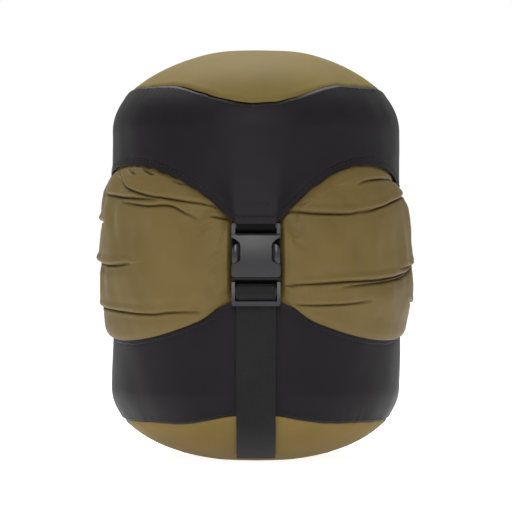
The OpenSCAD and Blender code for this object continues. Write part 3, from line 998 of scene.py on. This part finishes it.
def make_pouch(section, side_name, creases):
    angles, lines = plain_pouch(section)
    start = 120 * section
    points = polar(angles[:, None] + start, lines[..., 0], lines[..., 1])
    points = settle_pouch(points, angles, lines[..., 1], section)
    points = refine(points, *FINE_GRID)
    normals = normals_outward(points, wrap=False)
    z = points[..., 2]
    degrees = np.mod(np.degrees(np.arctan2(points[..., 0], -points[..., 1])) - start, 360)
    turn = degrees + start
    relief, lap, dark = crease_relief(degrees, z, creases)
    # free of the rim and the straps
    last = POUCH_GRID[1] - 1
    row = np.linspace(0, 1, FINE_GRID[1])[None] * last
    away = from_strap(degrees)
    free = (ease(8, 14, row) * ease(1.2, 4, last - row)
            * ease(13.5, 18, RADIUS * np.sin(np.radians(away))))
    gathers = ring_noise(turn, (70, 150), terms=12, seed=300 + section)
    relief += .07 * gathers * np.exp(-np.abs(lid_hem(from_strap_lid(turn)) - z) / 5)
    relief += .04 * gathers * np.exp(-np.abs(z - base_hem(away)) / 4)
    relief += .30 * field_noise(turn, z, (5, 14), rise=50, terms=8, seed=310 + section)
    relief += .05 * field_noise(turn, z, (20, 50), rise=18, terms=9, seed=320 + section)
    points = points + normals * (relief * free)[..., None]
    points[..., 2] -= lap * free
    piece = shell(f"gathered_cloth_{side_name}", points, OLIVE, .4, wrap=False)
    # painted shade of the creases, handed to the cloth material as its crease attribute
    painted_crease_shade = (dark * free).ravel()
    attribute = piece.data.attributes.new("crease", "FLOAT", "POINT")
    attribute.data.foreach_set("value", np.r_[painted_crease_shade, painted_crease_shade])
    fit(piece, "olive_cloth", ride="base")
    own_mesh(piece)


for k, (side_name, creases) in enumerate((("right", RIGHT_CREASES), ("back", BACK_CREASES),
                                          ("left", LEFT_CREASES))):
    make_pouch(k, side_name, creases)


def make_tube():
    """The taut tube behind the pouches, seen when the sack is let out."""
    z = np.linspace(50, TOP - 71.5, 110)[None]
    r = RADIUS - 2.35 + .12 * field_noise(TURN[:, None], z, (3, 12), rise=90, terms=8, seed=81)
    tube = shell("body_tube_cloth", polar(TURN[:, None], r, z), OLIVE, .4)
    fit(tube, "olive_cloth", replaces="body_tube")
    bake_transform(tube)


make_tube()


# ---------------------------------------------------------------- webbing
def ribbon(name, path, strap, seed, width=25.0, thick=1.25, material=None, step=.9, smooth=3):
    """Closed band with rounded edges along a path of (out, up) points."""
    path = round_corners(path, smooth)
    distances = arc_lengths(path)
    along = np.linspace(0, distances[-1], max(4, int(distances[-1] / step)))
    centre = interp_line(along, distances, path)
    tangent = np.gradient(centre, axis=0)
    tangent /= np.linalg.norm(tangent, axis=1, keepdims=True)
    normal = np.c_[-tangent[:, 1], tangent[:, 0]]
    count = 26                                  # points across one face
    x = -np.cos(np.linspace(0, math.pi, count)) * .15 + np.linspace(-1, 1, count) * .85
    half = (thick / 2 * (1 - np.abs(x) ** 10) ** .5
            * (1 + .12 * bell(np.abs(x) - .9, .06)))
    half[0] = half[-1] = thick * .16
    phase = np.random.default_rng(500 + seed).uniform(0, 6.28, 4)
    wobble = .12 * np.sin(along / 11 + phase[0]) + .06 * np.sin(along / 4.3 + phase[1])
    ring = []
    for face, order in ((1, range(count)), (-1, reversed(range(count)))):
        for i in order:
            place = centre + normal * (face * half[i])
            ring.append(strap_points(strap, place[:, 0], x[i] * width / 2 + wobble * .5,
                                     place[:, 1]))
    points = np.stack(ring, 1)
    rings, corners = points.shape[:2]
    verts = np.concatenate([points.reshape(-1, 3), points[:1].mean(1), points[-1:].mean(1)])
    i = np.arange(rings - 1)[:, None] * corners
    j = np.arange(corners)[None]
    after = (j + 1) % corners
    faces = np.stack([i + j, i + after, i + corners + after, i + corners + j], -1)
    faces = faces.reshape(-1, 4).tolist()
    first, last = rings * corners, (rings - 1) * corners
    for j in range(corners):
        after = (j + 1) % corners
        faces.append([first, after, j])
        faces.append([first + 1, last + j, last + after])
    return new_object(name, verts, faces, material or WEBBING[strap], sharp=50)


def flat_rows(strap, out, lines):
    """Stitch rows on a flat strap; each line is a list of (across, height)."""
    rows = []
    for line in lines:
        across, z = resample(np.array(line, float), np.linspace(0, 1, 20))[0].T
        rows.append((strap_points(strap, out, across, z),
                     np.repeat(strap_axes(strap)[0][None], 20, 0)))
    return rows


def from_buckle(offsets):
    """(out, up) places from offsets to the cap radius and the buckle's top."""
    return [(RADIUS + out, BUCKLE_Z + up) for out, up in offsets]


# Sections of the band round the plug's bar, the loop that holds the socket and the lining
# of the skirt's tip, also a dark sheet of painted shade behind the buckle: (out, up) as in
# from_buckle
BAR_TURN = [(3.25, -46.4), (3.25, -39.4), (4.4, -38.3), (6.5, -38.9), (7.5, -42.4),
            (8.6, -45.9), (7.0, -47.8), (5.0, -49.2), (3.6, -51.6)]
SOCKET_LOOP = [(1.6, 17), (2.6, 9), (4.2, 4.6), (6.3, 1.2), (6.3, -3.2), (4.9, -3.6),
               (3.3, -3.2), (3.3, .5), (1.8, 4.5), (.9, 17)]
TIP_LINING = [(-.9, 5), (.2, 0), (.45, -5), (.45, -22), (.45, -44), (.1, -50)]
RISE_OUT = RADIUS + 1.65                    # middle of the rising strap
TAIL_OUT = RADIUS + 3.3                     # middle of the free tail


def make_rise(strap, name):
    """Sewn end and the part that rises to the ladder lock, with its box stitch."""
    low, high = BASE_HEM_Z - SEWN_LENGTH, BUCKLE_Z - 43.5
    heights = np.r_[np.linspace(low, BASE_HEM_Z - 2, 20), np.linspace(BASE_HEM_Z - 1.9, high, 60)]
    rise = ribbon(f"strap_rise_{name}", [(RISE_OUT, z) for z in heights], strap, seed=strap,
                  smooth=0, step=.12, thick=1.2)
    fit(rise, "webbing", replaces="strap_run_" + name)
    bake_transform(rise)
    half, bottom, top = 10.3, low + 2.2, low + 19
    a, b, c, d = (-half, bottom), (half, bottom), (half, top), (-half, top)
    rows = flat_rows(strap, RISE_OUT + .66, [[a, b], [b, c], [c, d], [d, a], [a, c], [b, d]])
    fit(stitches(f"strap_box_stitch_{name}", rows, radius=.26, length=2.2, gap=.7),
        "cord", ride="base")


def under_base(tilt):
    """(out, up) of the strap's end round the base dome."""
    r, z = base_profile(tilt)
    gap = 1.1 + 2.2 * ((tilt - 28) / 62) ** 1.5
    return r + gap * math.sin(math.radians(tilt)), z - gap * math.cos(math.radians(tilt))


def make_tail(strap, name):
    """Turn over the ladder lock's bar, free tail, and its end under the base."""
    plug = "plug_" + name
    turn = ribbon(f"strap_turn_{name}", from_buckle(BAR_TURN), strap, seed=10 + strap,
                  width=25.2)
    fit(turn, "webbing", ride=plug, replaces="strap_tail_" + name)
    path = from_buckle([(3.62, -51.2)]) + [
        (TAIL_OUT + .1, BUCKLE_Z - 56), (TAIL_OUT, BUCKLE_Z - 70),
        (TAIL_OUT, BASE_SIDE_Z + 20), (TAIL_OUT, BASE_SIDE_Z - 1)]
    tail = ribbon(f"strap_tail_{name}", path, strap, seed=20 + strap)
    fit(tail, "webbing", ride=plug)
    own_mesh(tail)
    path = [(TAIL_OUT, BASE_SIDE_Z + 3)] + [under_base(tilt) for tilt in range(88, 27, -5)]
    end = ribbon(f"strap_end_{name}", path, strap, seed=30 + strap, smooth=2)
    fit(end, "webbing", ride="base")
    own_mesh(end)


def make_tip(strap, name):
    """Loop that holds the socket, the tip's lining and the tacks through the tip. Loop and lining
    are near-black as painted shade; the lining is a cloth tongue and also a dark sheet standing
    in for the shade behind the whole buckle.
    """
    loop = ribbon(f"buckle_loop_{name}", from_buckle(SOCKET_LOOP), strap, seed=40 + strap,
                  width=24.8, thick=1.2, material=LOOP_WEBBING_PAINTED_SHADE)
    fit(loop, "webbing", ride="lid", replaces="buckle_tab_" + name)
    # the lining reaches down behind the whole buckle, a dark sheet standing in for shade
    lining = ribbon(f"tip_lining_painted_shade_{name}", from_buckle(TIP_LINING), strap, seed=60 + strap,
                    width=30.2, thick=.7, material=LOOP_WEBBING_PAINTED_SHADE)
    fit(lining, "charcoal_cloth", ride="lid")
    lines = [[(-9.5, BUCKLE_Z + up), (9.5, BUCKLE_Z + up)] for up in (10.5, 13.0)]
    fit(stitches(f"tip_stitch_{name}", flat_rows(strap, RADIUS + 4.62, lines),
                 radius=.22, length=1.9, gap=.5, lift=.1), "cord", ride="lid")


for k, strap_name in enumerate(STRAPS):
    make_rise(k, strap_name)
    make_tail(k, strap_name)
    make_tip(k, strap_name)

# ---------------------------------------------------------------- moulded parts
# Pillowed zone: heights, how far its ends and its sides fall back, its middle and half width
Crown = namedtuple("Crown", "low high end_drop side_drop middle half")
FACE = Crown(BUCKLE_Z - 48, BUCKLE_Z - 6, 2.7, .9, 0, 15.5)     # shared by socket and prongs
UP = Vector((0, 0, 1))


def clamp(value, low=0.0, high=1.0):
    return max(low, min(high, value))


def cut(bm, normal, distance):
    """Add edges where a plane, this far from the origin in mm, meets the mesh."""
    bmesh.ops.bisect_plane(bm, geom=bm.verts[:] + bm.edges[:] + bm.faces[:],
                           plane_co=normal * (distance * MM), plane_no=normal, dist=1e-7)


def pillow(bm, strap, crown):
    """Curve the outer faces back towards the zone's ends and sides."""
    away, side = map(Vector, strap_axes(strap))
    height = crown.high - crown.low
    for i in range(1, 14):
        cut(bm, UP, crown.low + height * i / 14)
    for i in range(-5, 6):
        cut(bm, side, crown.middle + i * crown.half / 6)
    for vert in bm.verts:
        out = vert.co.dot(away) / MM - (RADIUS + 2.6)
        x, z = vert.co.dot(side) / MM, vert.co.z / MM
        weight = clamp((out - 3.5) / 4.5)
        rise = clamp((z - (crown.low + crown.high) / 2) / (height / 2), -1.3, 1.3)
        across = min(1.5, abs((x - crown.middle) / crown.half))
        drop = crown.end_drop * rise * rise + crown.side_drop * across ** 2
        vert.co -= away * (drop * weight * MM)


def sink_bar(bm, strap, low, high, depth):
    """Set the outer face between two heights back into the part."""
    away = Vector(strap_axes(strap)[0])
    for z in (low - .5, low, high, high + .5):
        cut(bm, UP, z)
    outs = [vert.co.dot(away) / MM for vert in bm.verts]
    back, face = min(outs), max(outs)
    for vert in bm.verts:
        z = vert.co.z / MM
        weight = clamp(min(z - low + .5, high + .5 - z) / .5)
        out = vert.co.dot(away) / MM
        vert.co -= away * (depth * weight * clamp((out - back - .8) / (face - back - 1.6)) * MM)


def moulded(node, name, bevel, material, ride, segments=3, strap=0, crowns=(), sinks=(),
            shade_band=None):
    """A CAD solid with rounded edges; the two heights given last bound faces painted near-black
    as shade.
    """
    bm = bmesh.new()
    bm.from_mesh(cad_nodes[node].data)
    bmesh.ops.remove_doubles(bm, verts=bm.verts, dist=2e-6)
    bmesh.ops.dissolve_limit(bm, angle_limit=math.radians(1.5), verts=bm.verts, edges=bm.edges)
    edges = [edge for edge in bm.edges
             if len(edge.link_faces) == 2 and edge.calc_face_angle(0) > math.radians(28)]
    bmesh.ops.bevel(bm, geom=edges, offset=bevel * MM, offset_type="OFFSET", segments=segments,
                    profile=.6, affect="EDGES", clamp_overlap=True)
    bmesh.ops.remove_doubles(bm, verts=bm.verts, dist=4e-6)
    for crown in crowns:
        pillow(bm, strap, crown)
    for low, high, depth in sinks:
        sink_bar(bm, strap, low, high, depth)
    bmesh.ops.recalc_face_normals(bm, faces=bm.faces)
    mesh = bpy.data.meshes.new(name)
    bm.to_mesh(mesh)
    bm.free()
    shade_smooth(mesh)
    mesh.materials.clear()
    mesh.materials.append(material)
    # faces between these heights get near-black acetal: painted shade
    if shade_band:
        mesh.materials.append(ACETAL_PAINTED_SHADE)
        for face in mesh.polygons:
            if shade_band[0] * MM < face.center.z < shade_band[1] * MM:
                face.material_index = 1
    piece = link_mesh(name, mesh)
    weighted = piece.modifiers.new("wn", "WEIGHTED_NORMAL")
    weighted.keep_sharp = True
    weighted.weight = 80
    fit(piece, "buckle_plastic", ride=ride, replaces=node)


def make_buckle(strap, name):
    moulded("buckle_socket_" + name, f"socket_{name}", .55, ACETAL, "lid", strap=strap,
            crowns=[FACE])
    # the plug's shoulder under the socket is painted near-black as shade
    moulded("buckle_plug_" + name, f"plug_{name}", .72, ACETAL, "plug_" + name, strap=strap,
            sinks=[(BUCKLE_Z - 47.6, BUCKLE_Z - 34, 1.3), (BUCKLE_Z - 36.2, BUCKLE_Z - 33, 3.6)],
            shade_band=(BUCKLE_Z - 36.6, BUCKLE_Z - 32))
    for letter in "ab":
        node = f"prong_{name}_{letter}"
        low, high = map(np.array, cad_box(node))
        side = 1 if (low + high) / 2 @ strap_axes(strap)[1] > 0 else -1
        grip = Crown(BUCKLE_Z - 25.4, BUCKLE_Z - 12, 1.0, 1.6, side * 13.2, 2.4)
        moulded(node, node + "_moulded", .8, PRONG_ACETAL, node, segments=4, strap=strap,
                crowns=[FACE, grip])


for k, strap_name in enumerate(STRAPS):
    make_buckle(k, strap_name)


# ---------------------------------------------------------------- mouth, drawcord, cord lock
def make_mouth():
    """Gathered mouth under the lid, from its upright neck down inside the wall."""
    turn = np.arange(360)
    floor_z, wall = TOP - 25, RADIUS - 2.3
    neck = [(15.4, 13.2), (12.6, 10.8), (11.5, 8.2), (11.2, 5), (11.6, 2.2), (14, .6)]
    line = [(r, floor_z + up) for r, up in neck]    # neck: radius, height
    for tilt in range(14, 90, 6):
        angle = math.radians(tilt)
        line.append((wall * math.sin(angle) ** .9, floor_z - 26 * (1 - math.cos(angle))))
    line += [(wall, floor_z - 26), (wall, TOP - 73)]
    rows = 70
    share = np.linspace(0, 1, rows) ** 1.25
    section, length = resample(round_corners(line, 2), share)
    points = polar(turn[:, None], section[None, :, 0], section[None, :, 1])
    normals = grid_normals(points, True)
    if normals[:, rows // 3, 2].sum() < 0:
        normals = -normals
    pleats = .5 + .5 * np.sin(np.radians(turn) * 26
                              + 1.4 * ring_noise(turn, (2, 9), terms=5, seed=91))
    pleats = pleats[:, None] ** .7
    uneven = ring_noise(turn, (9, 30), terms=8, seed=92)[:, None]
    height = np.interp(share * length, [0, 12, 18, 30, 60, length - 40, length],
                       [1.1, .7, .6, 1.2, .9, .25, 0])[None]
    relief = (pleats - .5) * 2 * height * .8 + uneven * height * .35
    piece = shell("mouth_cloth", points + normals * relief[..., None], OLIVE_DOME, .5)
    fit(piece, "olive_cloth", ride="sack_top", replaces="sack_mouth")


def paint(node, material):
    """Give a CAD piece that is kept as it is its material."""
    materials = cad_nodes[node].data.materials
    materials.clear()
    materials.append(material)


def make_spring():
    mesh = cad_nodes["cord_lock_spring"].data.copy()
    mesh.materials.clear()
    mesh.materials.append(STEEL)
    shade_smooth(mesh)
    wire = link_mesh("cord_lock_spring_wire", mesh)
    fit(wire, "spring_steel", ride="sack_top", replaces="cord_lock_spring")
    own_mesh(wire)


make_mouth()
for seam_tape in ("base_seam_tape", "lid_seam_tape"):
    paint(seam_tape, TAPE)
make_spring()
moulded("cord_lock_barrel", "cord_lock_body", .5, ACETAL, "sack_top")
moulded("cord_lock_plunger", "cord_lock_button", .4, PRONG_ACETAL, "cord_plunger")
paint("drawcord", CORD)


# ---------------------------------------------------------------- floor, light, camera
def make_floor():
    """Pale glowing floor, brighter to the camera than to the sack."""
    shader = Shader("pale_floor")
    shader.surface({
        "Base Color": shader.ramp(shader.noise(3, detail=4), [(.3, (.80, .80, .80, 1)),
                                                              (.7, (.82, .82, .82, 1))]),
        "Roughness": .9,
        "Specular IOR Level": .05,
        "Emission Color": (1, 1, 1, 1),
        "Emission Strength": .58})      # holds only if the link below is removed
    seen = shader.add("LightPath").outputs["Is Camera Ray"]
    shader.surface({"Emission Strength": shader.vary(seen, amount=.42, base=.46)})
    half = 14
    mesh = bpy.data.meshes.new("floor")
    mesh.from_pydata([(-half, -half, 0), (half, -half, 0), (half, half, 0), (-half, half, 0)],
                     [], [(0, 1, 2, 3)])
    mesh.materials.append(shader.material)
    link_mesh("floor", mesh)


def make_world(light=.37, backdrop=1.0):
    """White world: one strength lights the sack, the other is what the camera sees."""
    world = bpy.data.worlds.new("studio")
    scene.world = world
    world.use_nodes = True
    nodes, links = world.node_tree.nodes, world.node_tree.links
    nodes.clear()
    output, mix, path = (nodes.new("ShaderNode" + kind)
                         for kind in ("OutputWorld", "MixShader", "LightPath"))
    links.new(path.outputs["Is Camera Ray"], mix.inputs[0])
    for index, strength in ((1, light), (2, backdrop)):
        background = nodes.new("ShaderNodeBackground")
        background.inputs[0].default_value = (1, 1, 1, 1)
        background.inputs[1].default_value = strength
        links.new(background.outputs[0], mix.inputs[index])
    links.new(mix.outputs[0], output.inputs[0])


def aim(thing, location, target):
    thing.location = location
    thing.rotation_euler = (target - Vector(location)).to_track_quat("-Z", "Y").to_euler()


def area_light(name, location, size, power):
    light = bpy.data.lights.new(name, "AREA")
    light.energy = power
    light.size = size
    aim(link_mesh(name, light), location, Vector((0, 0, .14)))


def make_camera():
    elevation, distance, field_width = math.radians(.2), 2.4, .338
    target = Vector((0, 0, (TOP / 2 - 1) * MM))
    camera = bpy.data.cameras.new("cam")
    holder = link_mesh("cam", camera)
    scene.camera = holder
    back = Vector((0, -math.cos(elevation), math.sin(elevation)))
    aim(holder, target + back * distance, target)
    camera.sensor_width = 36
    camera.lens = 36 * distance / field_width
    camera.clip_end = 60


make_floor()
make_world()
area_light("key_top", (-.1, .5, 1.38), size=1.0, power=23)
area_light("front_fill", (-.1, -1.95, 1.15), size=1.1, power=15)
make_camera()
scene.view_settings.view_transform = "Standard"
scene.view_settings.look = "None"


bpy.context.view_layer.update()
